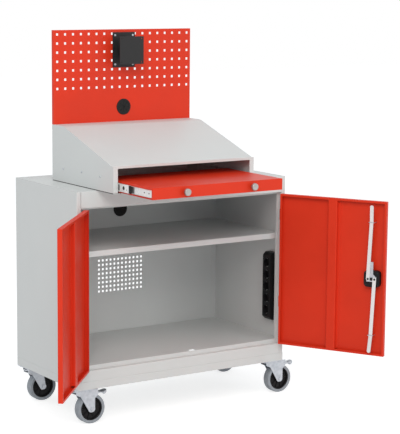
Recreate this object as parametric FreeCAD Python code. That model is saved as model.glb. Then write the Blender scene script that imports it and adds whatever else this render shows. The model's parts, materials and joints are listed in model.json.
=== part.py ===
import FreeCAD, Part
import math
import os

# Mobile computer cabinet in folded sheet steel: a two-door carcass on four castors, with a writing console,
# a pull-out drawer and a perforated back panel on top. Millimetres, floor at z = 0, front towards -Y.

V = FreeCAD.Vector

# Carcass
CARCASS_W = 1040.0
CARCASS_D = 540.0
CARCASS_H = 824.0
CASTOR_H = 157.0
SHEET = 1.5
BEND = 2.5
POST_W = 20.0
REBATE = 22.0
STOP_W = 6.0
STOP_LIP = 12.0
STOP_DROP = 8.0
REAR_FLANGE = 25.0
BASE_H = 34.0
BASE_FLANGE = 40.0
BASE_BEND = 0.6
PLINTH_H = 44.0
FLOOR_STEP = 17.0
FASCIA_H = 70.0
GUSSET = 112.0
GUSSET_T = 4.0

# Shelf and its clips
SHELF_RISE = 474.0
SHELF_LIP = 24.0
SHELF_SETBACK = 16.0
SHELF_GAP = 2.0
CLIP_W = 24.0
CLIP_TAB = 14.0
CLIP_H = 22.0
CLIP_T = 2.0
CLIP_INSET = 70.0

# Back wall openings
VENT_COLUMNS = 12
VENT_ROWS = 8
VENT_PITCH = 20.0
VENT_HOLE = 9.5
VENT_TOP_RISE = 327.0
GROMMET_HOLE_R = 30.0
GROMMET_RIM = 4.5
GROMMET_RIM_T = 3.0
GROMMET_PLUG = 4.0
GROMMET_PLAY = 0.1
BACK_GROMMET_RISE = 555.0

# Socket strip on the right wall
STRIP_L = 303.0
STRIP_W = 56.0
STRIP_T = 40.0
STRIP_BEVEL = 14.0
STRIP_SETBACK = 24.0
STRIP_RISE = 80.0
SOCKET_COUNT = 5
SOCKET_PITCH = 53.0
SOCKET_R = 19.5
SOCKET_DEPTH = 17.5

# Console on the carcass top
CONSOLE_W = 683.0
CONSOLE_D = 513.0
CONSOLE_INSET = 94.0
OVERHANG = 130.0
CONSOLE_FRONT_H = 106.0
CONSOLE_BACK_H = 237.5
LEDGE_D = 104.0
CONSOLE_POST_W = 21.0
LID_EDGE = 5.0
LID_ROUND = 80.0
LID_SKIRT = 20.0
FRONT_LIP_H = 6.0
FRONT_LIP_T = 2.5
CONSOLE_LIFT = 3.0
CONSOLE_FLANGE = 8.0

# Perforated panel
PANEL_H = 395.5
PANEL_FOLD = 15.0
PERF_COLUMNS = 18
PERF_ROWS = 7
PERF_PITCH = 38.0
PERF_HOLE = 10.0
PERF_TOP = 18.0
PANEL_GROMMET_RISE = 63.0

# Tilting bracket with a 100 mm square screw pattern
VESA = 100.0
VESA_HOLE_R = 2.25
VESA_PLATE = 118.0
VESA_PLATE_T = 3.0
BRACKET_DROP = 87.0
WALL_PLATE_W = 110.0
WALL_PLATE_H = 150.0
WALL_PLATE_T = 3.0
SWIVEL_OUT = 25.0
TILT_OUT = 55.0
VESA_OUT = 70.0
LUG_T = 5.0
LUG_R = 11.0
ARM_H = 40.0
ARM_W = 27.0
BRACKET_PIN_R = 4.0
TILT_KNUCKLE_R = 9.0

# Pull-out drawer and its telescopic slides
DRAWER_W = 621.0
DRAWER_D = 400.0
DRAWER_FRONT_H = 46.0
DRAWER_RISE = 4.5
DRAWER_OPEN = 247.0
SLIDE_L = 396.0
SLIDE_H = 36.0
SLIDE_T = 11.0
SLIDE_WALL = 1.2
SLIDE_PLAY = 0.4
SLIDE_LIP = 7.0
SLIDE_SETBACK = 6.0
MIDDLE_SETBACK = 26.0
KNOB_SPREAD = 321.0
KNOB_R = 14.5
KNOB_L = 25.0
KNOB_STEM_R = 6.0
KNOB_HEAD = 13.0

# Doors and hinges
DOOR_T = 20.0
DOOR_GAP = 4.0
DOOR_CLEAR_TOP = 3.0
DOOR_CLEAR_BOTTOM = 5.0
DOOR_RETURN = 9.0
STIFFENER_W = 42.0
STIFFENER_FLANGE = 12.0
HINGE_TOP_DROP = 95.0
HINGE_BOTTOM_RISE = 184.0
KNUCKLE_R = 5.5
KNUCKLE_H = 24.0
PIN_R = 3.0
PIN_PLAY = 0.05
PIN_OUT = 8.0
PIN_FROM_JAMB = 1.0
LEAF_T = 2.0
LEAF_W = 18.0
JAMB_LEAF_T = 1.6
JAMB_LEAF_D = 9.0
LEFT_OPEN = 131.0
RIGHT_OPEN = 119.0

# Three-point rod lock on the right door
LOCK_BACKSET = 59.0
LOCK_SIZE = 71.0
LOCK_CORNER_R = 16.0
LOCK_DEPTH = 22.5
SPINDLE = 8.0
SPINDLE_PLAY = 0.1
SPINDLE_HOLE_R = 8.0
CAM_BASE_W = 44.0
CAM_BELOW = 12.0
CAM_ABOVE = 7.0
CAM_T = 3.0
CAM_GAP = 0.5
CAM_PIN_SPREAD = 30.0
CAM_PIN_R = 4.0
CAM_PIN_PROUD = 1.6
TONGUE_L = 74.0
TONGUE_W = 15.0
ROD_L = 319.0
ROD_W = 16.0
ROD_T = 3.0
ROD_GAP = 0.3
ROD_BEND_AT = 249.0
ROD_BEND_RISE = 10.0
GUIDE_AT = 244.0
GUIDE_PLAY = 3.2
GUIDE_SHIFT = 2.65
GUIDE_T = 1.5
GUIDE_W = 3.0
SLOT_PLAY = 6.0
ROSE_R = 27.0
ROSE_T = 5.0
KNOB_WING = 72.0
KNOB_WING_W = 20.0
KNOB_WING_T = 24.0
KNOB_HUB_R = 17.0
KNOB_HUB_T = 9.0

# Castors
WHEEL_R = 62.5
WHEEL_W = 38.0
TRAIL = 50.0
CASTOR_INSET_X = 38.0
CASTOR_INSET_Y = 55.0
PLATE_X = 76.0
PLATE_Y = 105.0
PLATE_T = 4.0
RACE_R = 29.0
RACE_T = 6.0
KING_R = 6.0
KING_PROUD = 2.0
FORK_T = 3.0
FORK_TOP_T = 5.0
FORK_R = 34.0
FORK_SHOULDER = 13.0
FORK_BOSS_R = 13.0
FORK_PLAY = 1.5
FLARE_X = 78.0
FLARE_DROP = 26.0
AXLE_R = 6.0
AXLE_HEAD_R = 8.5
AXLE_HEAD_T = 4.0
RUN_PLAY = 0.05
FACE_PLAY = 0.3
PEDAL_X = 58.0
PEDAL_DROP = 9.0
PEDAL_L = 71.0
PEDAL_W = 36.0
PEDAL_T = 4.0
PEDAL_DIP = 5.0
PEDAL_TIP_RISE = 6.0
TOE_T = 10.0
PEDAL_BARREL_R = 5.5
PEDAL_PIN_R = 3.0
SHOE_X = 16.0
SHOE_L = 16.0
SHOE_T = 6.2

# Places worked out from the sizes above
X_SIDE = CARCASS_W / 2
Y_FRONT = -CARCASS_D / 2
Y_BACK = CARCASS_D / 2
Z_BASE = CASTOR_H
Z_PANELS = Z_BASE + BASE_H
Z_PLINTH = Z_PANELS + PLINTH_H
Z_FLOOR = Z_PLINTH + FLOOR_STEP
Z_TOP = Z_BASE + CARCASS_H
Z_FASCIA = Z_TOP - FASCIA_H
Z_STOP = Z_FASCIA - STOP_DROP
Z_SHELF = Z_FLOOR + SHELF_RISE
X_WALL = X_SIDE - SHEET
X_JAMB = X_SIDE - POST_W
X_STOP = X_JAMB - STOP_W
Y_STOP = Y_FRONT + REBATE
Y_WALL = Y_BACK - SHEET
Y_FLANGE = Y_WALL - SHEET

X_CHEEK = CONSOLE_W / 2
XC = CONSOLE_INSET + X_CHEEK - X_SIDE
Y_CONSOLE = Y_FRONT - OVERHANG
Y_CONSOLE_BACK = Y_CONSOLE + CONSOLE_D
Y_LEDGE = Y_CONSOLE_BACK - LEDGE_D
Z_CONSOLE_FRONT = Z_TOP + CONSOLE_FRONT_H
Z_LEDGE = Z_TOP + CONSOLE_BACK_H
Y_PANEL = Y_CONSOLE_BACK - PANEL_FOLD
Z_PANEL = Z_LEDGE + PANEL_H
Z_BRACKET = Z_PANEL - BRACKET_DROP

X_HINGE_EDGE = X_JAMB - DOOR_GAP
X_FREE_EDGE = DOOR_GAP / 2
Z_DOOR = Z_PLINTH + DOOR_CLEAR_BOTTOM
Z_DOOR_TOP = Z_FASCIA - DOOR_CLEAR_TOP
Y_SKIN = Y_FRONT + SHEET
Y_INNER = Y_FRONT + DOOR_T
PIN = V(X_JAMB - PIN_FROM_JAMB, Y_FRONT - PIN_OUT, 0)
HINGE_HEIGHTS = (Z_DOOR_TOP - HINGE_TOP_DROP, Z_DOOR + HINGE_BOTTOM_RISE)

X_LOCK = X_FREE_EDGE + LOCK_BACKSET
Z_LOCK = (Z_DOOR + Z_DOOR_TOP) / 2
Y_HOUSING = Y_SKIN + LOCK_DEPTH
Y_CAM = Y_HOUSING + CAM_GAP
Y_ROD = Y_CAM + CAM_T + ROD_GAP
CAM_PIN_OUT = CAM_PIN_SPREAD / 2
ROD_LEAN = math.degrees(math.asin(CAM_PIN_OUT / ROD_L))

X_CASTOR = X_SIDE - CASTOR_INSET_X
Y_CASTOR = Y_BACK - CASTOR_INSET_Y
Z_RACE = CASTOR_H - PLATE_T - RACE_T
Z_FORK_TOP = Z_RACE - FACE_PLAY
Z_FORK = Z_FORK_TOP - FORK_TOP_T
FORK_IN = WHEEL_W / 2 + FORK_PLAY

X_AXIS, Y_AXIS, Z_AXIS = V(1, 0, 0), V(0, 1, 0), V(0, 0, 1)
PLACE = {
    "x": (lambda a, b, at: V(at, a, b), X_AXIS),
    "y": (lambda a, b, at: V(a, at, b), Y_AXIS),
    "z": (lambda a, b, at: V(a, b, at), Z_AXIS),
}

os.makedirs("parts", exist_ok=True)


def save(name, *solids):
    shape = solids[0] if len(solids) == 1 else Part.makeCompound(list(solids))
    shape.exportStep("parts/" + name + ".step")


def box(x0, x1, y0, y1, z0, z1):
    return Part.makeBox(x1 - x0, y1 - y0, z1 - z0, V(x0, y0, z0))


def rod(axis, at, radius, start, end):
    """Cylinder along an axis letter; at is its centre in the other two coordinates."""
    place, direction = PLACE[axis]
    return Part.makeCylinder(radius, end - start, place(at[0], at[1], start), direction)


def fused(first, *others):
    return first.fuse(list(others)).removeSplitter()


def mirrored(shape, normal=X_AXIS):
    return shape.mirror(V(0, 0, 0), normal)


def moved(shape, x=0.0, y=0.0, z=0.0):
    copy = shape.copy()
    copy.translate(V(x, y, z))
    return copy


def turned(shape, centre, axis, angle):
    copy = shape.copy()
    copy.rotate(centre, axis, angle)
    return copy


def outline(points, radii, axis, at):
    """Closed wire through 2-D points, each corner rounded by its own radius (0 keeps it sharp)."""
    place, _ = PLACE[axis]
    corners = []
    for i, point in enumerate(points):
        p = V(point[0], point[1], 0)
        radius = radii[i]
        if radius <= 0:
            corners.append((p, None, p))
            continue
        before = V(*points[i - 1], 0).sub(p)
        after = V(*points[(i + 1) % len(points)], 0).sub(p)
        half = before.getAngle(after) / 2
        before.normalize()
        after.normalize()
        middle = before.add(after)
        middle.normalize()
        reach = radius / math.tan(half)
        top = p + middle * (radius / math.sin(half) - radius)
        corners.append((p + before * reach, top, p + after * reach))
    edges = []
    for i, (start, top, end) in enumerate(corners):
        if top is not None:
            edges.append(Part.Arc(*[place(q.x, q.y, at) for q in (start, top, end)]).toShape())
        following = corners[(i + 1) % len(corners)][0]
        if end.distanceToPoint(following) > 1e-6:
            ends = [place(q.x, q.y, at) for q in (end, following)]
            edges.append(Part.LineSegment(*ends).toShape())
    return Part.Wire(edges)


def prism(points, axis, start, end, radii=0.0):
    """Rounded polygon extruded along an axis letter."""
    if not isinstance(radii, (list, tuple)):
        radii = [radii] * len(points)
    _, direction = PLACE[axis]
    return Part.Face(outline(points, radii, axis, start)).extrude(direction * (end - start))


def rectangle(a0, a1, b0, b1):
    return [(a0, b0), (a1, b0), (a1, b1), (a0, b1)]


def cut_rectangle(a0, a1, b0, b1, cut):
    """Rectangle with its four corners cut off at 45 degrees."""
    return [
        (a0 + cut, b0),
        (a1 - cut, b0),
        (a1, b0 + cut),
        (a1, b1 - cut),
        (a1 - cut, b1),
        (a0 + cut, b1),
        (a0, b1 - cut),
        (a0, b0 + cut),
    ]


def left_of(path, thickness):
    """The path moved sideways to its left by one thickness, with mitred corners."""
    points = [V(a, b, 0) for a, b in path]
    normals = []
    for a, b in zip(points, points[1:]):
        along = b.sub(a)
        along.normalize()
        normals.append(V(-along.y, along.x, 0))
    shifted = [points[0] + normals[0] * thickness]
    for point, n0, n1 in zip(points[1:], normals, normals[1:]):
        shifted.append(point + (n0 + n1) * (thickness / (1 + n0.dot(n1))))
    shifted.append(points[-1] + normals[-1] * thickness)
    return [(p.x, p.y) for p in shifted]


def folded(path, axis, start, end, thickness=SHEET, bend=BEND):
    """Sheet folded along an open 2-D path, lying to the left of it, extruded along an axis letter.

    bend is the inside radius of every fold, or a list with one for each; 0 folds sharply.
    """
    near, far = [0.0], [0.0]
    bends = bend if isinstance(bend, (list, tuple)) else [bend] * (len(path) - 2)
    for a, b, c, inside in zip(path, path[1:], path[2:], bends):
        turn = (b[0] - a[0]) * (c[1] - b[1]) - (b[1] - a[1]) * (c[0] - b[0])
        outside = inside + thickness if inside > 0 else 0.0
        near.append(outside if turn > 0 else inside)
        far.append(inside if turn > 0 else outside)
    near.append(0.0)
    far.append(0.0)
    other = left_of(path, thickness)
    return prism(list(path) + other[::-1], axis, start, end, near + far[::-1])


def spun(points, axis_point, axis):
    """Solid of revolution of (radius, along) points about an axis letter through axis_point."""
    direction = PLACE[axis][1]
    side = Z_AXIS if axis != "z" else X_AXIS
    wire = Part.makePolygon([axis_point + side * r + direction * h for r, h in points + points[:1]])
    return Part.Face(wire).revolve(axis_point, direction, 360)


# Carcass shell
def side_panel():
    path = [
        (X_STOP, Y_STOP + STOP_LIP),
        (X_STOP, Y_STOP),
        (X_JAMB, Y_STOP),
        (X_JAMB, Y_FRONT),
        (X_SIDE, Y_FRONT),
        (X_SIDE, Y_WALL),
        (X_SIDE - REAR_FLANGE, Y_WALL),
    ]
    return folded(path, "z", Z_PANELS, Z_TOP - SHEET, SHEET, [0, 0, BEND, BEND, 0])


def corner_notches():
    """Clearance in the floor and top for the stops and lips of the side posts."""
    notch = box(X_STOP, X_JAMB, Y_STOP, Y_STOP + STOP_LIP, Z_PANELS, Z_TOP - SHEET)
    return [notch, mirrored(notch)]


def rod_slot():
    """Slot through which a lock rod passes behind the door stop."""
    half = ROD_W / 2 + SLOT_PLAY
    deep = Y_ROD + ROD_T + ROD_BEND_RISE + SLOT_PLAY
    return box(X_LOCK - half, X_LOCK + half, Y_STOP + SHEET + BEND, deep, Z_PLINTH, Z_FASCIA)


def top_panel():
    path = [
        (Y_BACK, Z_TOP),
        (Y_FRONT, Z_TOP),
        (Y_FRONT, Z_FASCIA),
        (Y_STOP, Z_FASCIA),
        (Y_STOP, Z_STOP),
        (Y_STOP + STOP_LIP, Z_STOP),
    ]
    front = folded(path, "x", -X_JAMB, X_JAMB, SHEET, [BEND, BEND, 0, 0])
    front = front.cut(corner_notches() + [rod_slot()])
    sheet = folded(path[:2] + [(Y_FRONT, Z_TOP - BEND - SHEET)], "x", -X_SIDE, X_SIDE)
    ear = box(X_JAMB - POST_W, X_JAMB + POST_W, Y_FRONT - SHEET, Y_BACK, Z_PANELS, Z_TOP - SHEET)
    return fused(front, sheet.cut([ear, mirrored(ear)]))


def floor_panel():
    path = [
        (Y_FLANGE, Z_FLOOR),
        (Y_STOP, Z_FLOOR),
        (Y_STOP, Z_PLINTH),
        (Y_FRONT, Z_PLINTH),
        (Y_FRONT, Z_PANELS),
        (Y_FRONT + STOP_LIP, Z_PANELS),
    ]
    front = folded(path, "x", -X_JAMB, X_JAMB, SHEET, [0, 0, BEND, 0]).cut(corner_notches())
    sheet = box(-X_WALL, X_WALL, Y_STOP + STOP_LIP, Y_FLANGE, Z_FLOOR - SHEET, Z_FLOOR)
    return fused(front, sheet).cut(rod_slot())


def hole_grid(centre, z_top, columns, rows, pitch, size, y0, y1):
    """Square holes in columns and rows through a sheet between y0 and y1."""
    first = centre - pitch * (columns - 1) / 2
    holes = []
    for column in range(columns):
        for row in range(rows):
            x = first + column * pitch
            z = z_top - row * pitch
            holes.append(box(x - size / 2, x + size / 2, y0, y1, z - size / 2, z + size / 2))
    return holes


def back_panel():
    sheet = box(-X_SIDE, X_SIDE, Y_WALL, Y_BACK, Z_PANELS, Z_TOP - SHEET)
    vent_top = Z_FLOOR + VENT_TOP_RISE
    vents = hole_grid(0.0, vent_top, VENT_COLUMNS, VENT_ROWS, VENT_PITCH, VENT_HOLE, Y_WALL, Y_BACK)
    cable_hole = rod("y", (0.0, Z_FLOOR + BACK_GROMMET_RISE), GROMMET_HOLE_R, Y_WALL, Y_BACK)
    return sheet.cut(vents + [cable_hole])


def grommet(x, z, y_front):
    """Rubber cable grommet: a rim on the front of the sheet and a plug through its hole."""
    rim = rod("y", (x, z), GROMMET_HOLE_R + GROMMET_RIM, y_front - GROMMET_RIM_T, y_front)
    return fused(rim, rod("y", (x, z), GROMMET_HOLE_R - GROMMET_PLAY, y_front, y_front + GROMMET_PLUG))


def base_rail_front():
    path = [
        (Y_FRONT + BASE_FLANGE, Z_PANELS),
        (Y_FRONT, Z_PANELS),
        (Y_FRONT, Z_BASE),
        (Y_FRONT + BASE_FLANGE, Z_BASE),
    ]
    inner = X_SIDE - BASE_FLANGE
    corners = [
        (-X_SIDE, Y_FRONT),
        (X_SIDE, Y_FRONT),
        (inner, Y_FRONT + BASE_FLANGE),
        (-inner, Y_FRONT + BASE_FLANGE),
    ]
    rail = folded(path, "x", -X_SIDE, X_SIDE, SHEET, [BASE_BEND, 0])
    return rail.common(prism(corners, "z", Z_BASE, Z_PANELS))


def base_rail_right():
    path = [
        (X_SIDE - BASE_FLANGE, Z_BASE),
        (X_SIDE, Z_BASE),
        (X_SIDE, Z_PANELS),
        (X_SIDE - BASE_FLANGE, Z_PANELS),
    ]
    inner = Y_BACK - BASE_FLANGE
    corners = [
        (X_SIDE, Y_FRONT),
        (X_SIDE, Y_BACK),
        (X_SIDE - BASE_FLANGE, inner),
        (X_SIDE - BASE_FLANGE, -inner),
    ]
    rail = folded(path, "y", Y_FRONT, Y_BACK, SHEET, [0, BASE_BEND])
    return rail.common(prism(corners, "z", Z_BASE, Z_PANELS))


def gussets():
    """Corner plates inside the base frame that take the castor bolts."""
    x = X_SIDE - SHEET - BEND
    y = Y_BACK - SHEET - BEND
    corner = [
        (x, y),
        (x - GUSSET, y),
        (x - GUSSET, y - GUSSET / 2),
        (x - GUSSET / 2, y - GUSSET),
        (x, y - GUSSET),
    ]
    plate = prism(corner, "z", Z_BASE + SHEET, Z_BASE + SHEET + GUSSET_T)
    pair = [plate, mirrored(plate)]
    return pair + [mirrored(p, Y_AXIS) for p in pair]


def shelf():
    front = Y_STOP + SHELF_SETBACK
    back = Y_FLANGE - SHELF_GAP
    low = Z_SHELF - SHELF_LIP
    path = [(back, low), (back, Z_SHELF), (front, Z_SHELF), (front, low), (front + STOP_LIP, low)]
    half = X_WALL - SHELF_GAP
    return folded(path, "x", -half, half, SHEET, [0, BEND, 0])


def shelf_clips():
    """Angle clips on the side walls that carry the shelf sheet from below."""
    clips = []
    under = Z_SHELF - SHEET
    path = [
        (X_WALL, under - CLIP_H),
        (X_WALL, under),
        (X_WALL - CLIP_TAB, under),
    ]
    spots = (Y_STOP + SHELF_SETBACK + CLIP_INSET, Y_FLANGE - SHELF_GAP - CLIP_INSET)
    for y in spots:
        clip = folded(path, "y", y - CLIP_W / 2, y + CLIP_W / 2, CLIP_T, 0)
        clips += [clip, mirrored(clip)]
    return clips


def socket_strip():
    y0 = Y_STOP + STRIP_SETBACK
    y1 = y0 + STRIP_W
    z0 = Z_FLOOR + STRIP_RISE
    z1 = z0 + STRIP_L
    face = X_WALL - STRIP_T
    profile = [
        (X_WALL, z0),
        (X_WALL, z1),
        (face + STRIP_BEVEL, z1),
        (face, z1 - STRIP_BEVEL),
        (face, z0 + STRIP_BEVEL),
        (face + STRIP_BEVEL, z0),
    ]
    body = prism(profile, "y", y0, y1)
    first = (z0 + z1) / 2 - SOCKET_PITCH * (SOCKET_COUNT - 1) / 2
    middle = (y0 + y1) / 2
    wells = []
    for i in range(SOCKET_COUNT):
        wells.append(rod("x", (middle, first + i * SOCKET_PITCH), SOCKET_R, face, face + SOCKET_DEPTH))
    return body.cut(wells)


save("side_panel_right", side_panel())
save("side_panel_left", mirrored(side_panel()))
save("top_panel", top_panel())
save("floor_panel", floor_panel())
save("back_panel", back_panel())
save("base_cross_rails", base_rail_front(), mirrored(base_rail_front(), Y_AXIS))
save("base_side_rails", base_rail_right(), mirrored(base_rail_right()))
save("base_gussets", *gussets())
save("shelf", shelf())
save("shelf_clips", *shelf_clips())
save("socket_strip", socket_strip())


# Writing console and perforated panel
LID_PATH = [
    (Y_CONSOLE_BACK, Z_LEDGE - LID_SKIRT),
    (Y_CONSOLE_BACK, Z_LEDGE),
    (Y_LEDGE, Z_LEDGE),
    (Y_CONSOLE, Z_CONSOLE_FRONT),
    (Y_CONSOLE, Z_CONSOLE_FRONT - LID_EDGE),
]


def console_lid():
    lid = folded(LID_PATH, "x", XC - X_CHEEK, XC + X_CHEEK, SHEET, [BEND, LID_ROUND, BEND])
    lip = [
        (Y_CONSOLE, Z_CONSOLE_FRONT - LID_EDGE),
        (Y_CONSOLE, Z_CONSOLE_FRONT + FRONT_LIP_H),
        (Y_CONSOLE + FRONT_LIP_T, Z_CONSOLE_FRONT + FRONT_LIP_H),
        (Y_CONSOLE + FRONT_LIP_T, Z_CONSOLE_FRONT - LID_EDGE),
    ]
    front_lip = prism(lip, "x", XC - X_CHEEK, XC + X_CHEEK, [0, 1.0, 1.0, 0])
    return fused(lid, front_lip)


def console_cheek():
    """Right cheek about x = 0: a plate that follows the lid and a folded front post."""
    under = left_of(LID_PATH, SHEET)
    front = Y_CONSOLE + FRONT_LIP_T
    slope = (under[2][1] - under[3][1]) / (under[2][0] - under[3][0])
    front_top = under[3][1] + slope * (front - under[3][0])
    low = Z_TOP + CONSOLE_LIFT
    plate = prism([(under[1][0], low), under[1], under[2], (front, front_top), (front, low)],
                  "x", X_CHEEK - SHEET, X_CHEEK, [0, BEND, LID_ROUND, 0, 0])
    path = [
        (X_CHEEK - CONSOLE_POST_W, Y_CONSOLE),
        (X_CHEEK, Y_CONSOLE),
        (X_CHEEK, front),
    ]
    post = folded(path, "z", low, Z_CONSOLE_FRONT - LID_EDGE, SHEET, 0)
    return fused(plate, post)


def console_back():
    half = X_CHEEK - SHEET
    y = Y_CONSOLE_BACK - SHEET
    return box(XC - half, XC + half, y - SHEET, y, Z_TOP, Z_LEDGE - SHEET - BEND)


def console_base():
    """Tray on the carcass top whose turned-up sides hold the cheeks a little off it."""
    half = X_CHEEK - SHEET
    path = [
        (XC - half, Z_TOP + CONSOLE_FLANGE),
        (XC - half, Z_TOP),
        (XC + half, Z_TOP),
        (XC + half, Z_TOP + CONSOLE_FLANGE),
    ]
    return folded(path, "y", Y_CONSOLE + SHEET, Y_CONSOLE_BACK - 2 * SHEET, SHEET, 0)


def perforated_panel():
    x0, x1 = XC - X_CHEEK, XC + X_CHEEK
    tray = box(x0, x1, Y_PANEL, Y_CONSOLE_BACK, Z_LEDGE, Z_PANEL)
    hollow = box(x0 + SHEET, x1 - SHEET, Y_PANEL + SHEET, Y_CONSOLE_BACK, Z_LEDGE + SHEET, Z_PANEL - SHEET)
    holes = hole_grid(XC, Z_PANEL - PERF_TOP, PERF_COLUMNS, PERF_ROWS, PERF_PITCH, PERF_HOLE,
                      Y_PANEL, Y_PANEL + SHEET)
    cable_hole = rod("y", (XC, Z_LEDGE + PANEL_GROMMET_RISE), GROMMET_HOLE_R, Y_PANEL, Y_PANEL + SHEET)
    return tray.cut([hollow, cable_hole] + holes)


save("console_cheek_right", moved(console_cheek(), XC))
save("console_cheek_left", moved(mirrored(console_cheek()), XC))
save("console_lid", console_lid())
save("console_back", console_back())
save("console_base", console_base())
save("perforated_panel", perforated_panel())
save("cable_grommets", grommet(0.0, Z_FLOOR + BACK_GROMMET_RISE, Y_WALL),
     grommet(XC, Z_LEDGE + PANEL_GROMMET_RISE, Y_PANEL))


# Tilting bracket on the perforated panel: wall plate, swivel arm and plate with the screw pattern
Y_SWIVEL = Y_PANEL - SWIVEL_OUT
Y_TILT = Y_PANEL - TILT_OUT
Y_VESA = Y_PANEL - VESA_OUT


def bracket_wall_plate():
    plate = prism(rectangle(XC - WALL_PLATE_W / 2, XC + WALL_PLATE_W / 2,
                            Z_BRACKET - WALL_PLATE_H / 2, Z_BRACKET + WALL_PLATE_H / 2),
                  "y", Y_PANEL - WALL_PLATE_T, Y_PANEL)
    lug_line = [
        (XC - LUG_R, Y_PANEL - WALL_PLATE_T),
        (XC - LUG_R, Y_SWIVEL),
        (XC - LUG_R / 2, Y_SWIVEL - LUG_R),
        (XC + LUG_R / 2, Y_SWIVEL - LUG_R),
        (XC + LUG_R, Y_SWIVEL),
        (XC + LUG_R, Y_PANEL - WALL_PLATE_T),
    ]
    low = Z_BRACKET - ARM_H / 2 - FACE_PLAY
    high = Z_BRACKET + ARM_H / 2 + FACE_PLAY
    lower_lug = prism(lug_line, "z", low - LUG_T, low)
    upper_lug = prism(lug_line, "z", high, high + LUG_T)
    pin = rod("z", (XC, Y_SWIVEL), BRACKET_PIN_R, low - LUG_T, high + LUG_T)
    return fused(plate, lower_lug, upper_lug, pin)


def bracket_swivel_arm():
    """Block on the upright pin, tapering to the nose that carries the cross pin of the tilting plate."""
    half = TILT_KNUCKLE_R
    line = [
        (Y_SWIVEL + LUG_R, Z_BRACKET - ARM_H / 2),
        (Y_SWIVEL + LUG_R, Z_BRACKET + ARM_H / 2),
        (Y_SWIVEL - LUG_R / 2, Z_BRACKET + ARM_H / 2),
        (Y_TILT, Z_BRACKET + half),
        (Y_TILT - half, Z_BRACKET + half / 2),
        (Y_TILT - half, Z_BRACKET - half / 2),
        (Y_TILT, Z_BRACKET - half),
        (Y_SWIVEL - LUG_R / 2, Z_BRACKET - ARM_H / 2),
    ]
    block = prism(line, "x", XC - ARM_W / 2, XC + ARM_W / 2)
    swivel_bore = rod("z", (XC, Y_SWIVEL), BRACKET_PIN_R + RUN_PLAY, Z_BRACKET - ARM_H, Z_BRACKET + ARM_H)
    tilt_bore = rod("x", (Y_TILT, Z_BRACKET), BRACKET_PIN_R + RUN_PLAY, XC - ARM_W, XC + ARM_W)
    return block.cut([swivel_bore, tilt_bore])


def bracket_tilt_plate():
    half = VESA_PLATE / 2
    back = Y_VESA + VESA_PLATE_T
    plate = prism(rectangle(XC - half, XC + half, Z_BRACKET - half, Z_BRACKET + half),
                  "y", Y_VESA, back)
    inside = ARM_W / 2 + FACE_PLAY
    low, high = Z_BRACKET - TILT_KNUCKLE_R, Z_BRACKET + TILT_KNUCKLE_R
    ear_line = [(back, low - LUG_T), (Y_TILT + LUG_T, low), (Y_TILT + LUG_T, high), (back, high + LUG_T)]
    ear = prism(ear_line, "x", XC + inside, XC + inside + LUG_T)
    far_ear = moved(ear, -2 * inside - LUG_T)
    pin = rod("x", (Y_TILT, Z_BRACKET), BRACKET_PIN_R, XC - inside - LUG_T, XC + inside + LUG_T)
    holes = []
    for dx in (-VESA / 2, VESA / 2):
        for dz in (-VESA / 2, VESA / 2):
            holes.append(rod("y", (XC + dx, Z_BRACKET + dz), VESA_HOLE_R, Y_VESA, back))
    return fused(plate, ear, far_ear, pin).cut(holes)


save("bracket_wall_plate", bracket_wall_plate())
save("bracket_swivel_arm", bracket_swivel_arm())
save("bracket_tilt_plate", bracket_tilt_plate())


# Pull-out drawer on telescopic slides, drawn out by DRAWER_OPEN
Z_DRAWER = Z_TOP + DRAWER_RISE
Z_DRAWER_TOP = Z_DRAWER + DRAWER_FRONT_H
Z_SLIDE = (Z_DRAWER + Z_DRAWER_TOP) / 2
X_DRAWER = DRAWER_W / 2
Y_SLIDE = Y_CONSOLE + SLIDE_SETBACK


def drawer_tray():
    y0 = Y_CONSOLE
    y1 = Y_CONSOLE + DRAWER_D
    shell = prism(rectangle(-X_DRAWER, X_DRAWER, Z_DRAWER, Z_DRAWER_TOP), "y", y0, y1, [0, 0, BEND, BEND])
    hollow = box(-X_DRAWER + SHEET, X_DRAWER - SHEET, y0 + SHEET, y1, Z_DRAWER, Z_DRAWER_TOP - SHEET)
    return shell.cut(hollow)


def rail(web_x, lip_x, height, setback=0.0):
    """C-section rail about x measured from the drawer side outwards, its web at web_x."""
    half = height / 2
    path = [(lip_x, half), (web_x, half), (web_x, -half), (lip_x, -half)]
    if web_x > lip_x:
        path = path[::-1]
    section = folded(path, "y", Y_SLIDE + setback, Y_SLIDE + SLIDE_L, SLIDE_WALL, 0)
    return moved(section, X_DRAWER, 0, Z_SLIDE)


def slide_rails():
    """Outer, middle and inner rails of the right slide, nested with running play."""
    step = SLIDE_WALL + SLIDE_PLAY
    outer = rail(SLIDE_T, SLIDE_T - SLIDE_LIP, SLIDE_H)
    middle = rail(SLIDE_T - step, SLIDE_T - step - SLIDE_LIP, SLIDE_H - 2 * step, MIDDLE_SETBACK)
    inner = rail(0.0, SLIDE_LIP, SLIDE_H - 4 * step)
    return outer, middle, inner


def slide_bracket():
    """Channel between the cheek and the outer rail."""
    rail_x = X_DRAWER + SLIDE_T
    wall_x = X_CHEEK - SHEET
    low = Z_SLIDE - SLIDE_H / 2
    high = Z_SLIDE + SLIDE_H / 2
    path = [(rail_x, low), (wall_x, low), (wall_x, high), (rail_x, high)]
    return folded(path, "y", Y_SLIDE, Y_SLIDE + SLIDE_L, SHEET, 0)


def pull_knob(x):
    head = Y_CONSOLE - KNOB_L + KNOB_HEAD
    stem = rod("y", (x, Z_SLIDE), KNOB_STEM_R, head, Y_CONSOLE)
    return fused(stem, rod("y", (x, Z_SLIDE), KNOB_R, Y_CONSOLE - KNOB_L, head))


def both_slides(shape, y):
    return [moved(s, XC, y) for s in (shape, mirrored(shape))]


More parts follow.
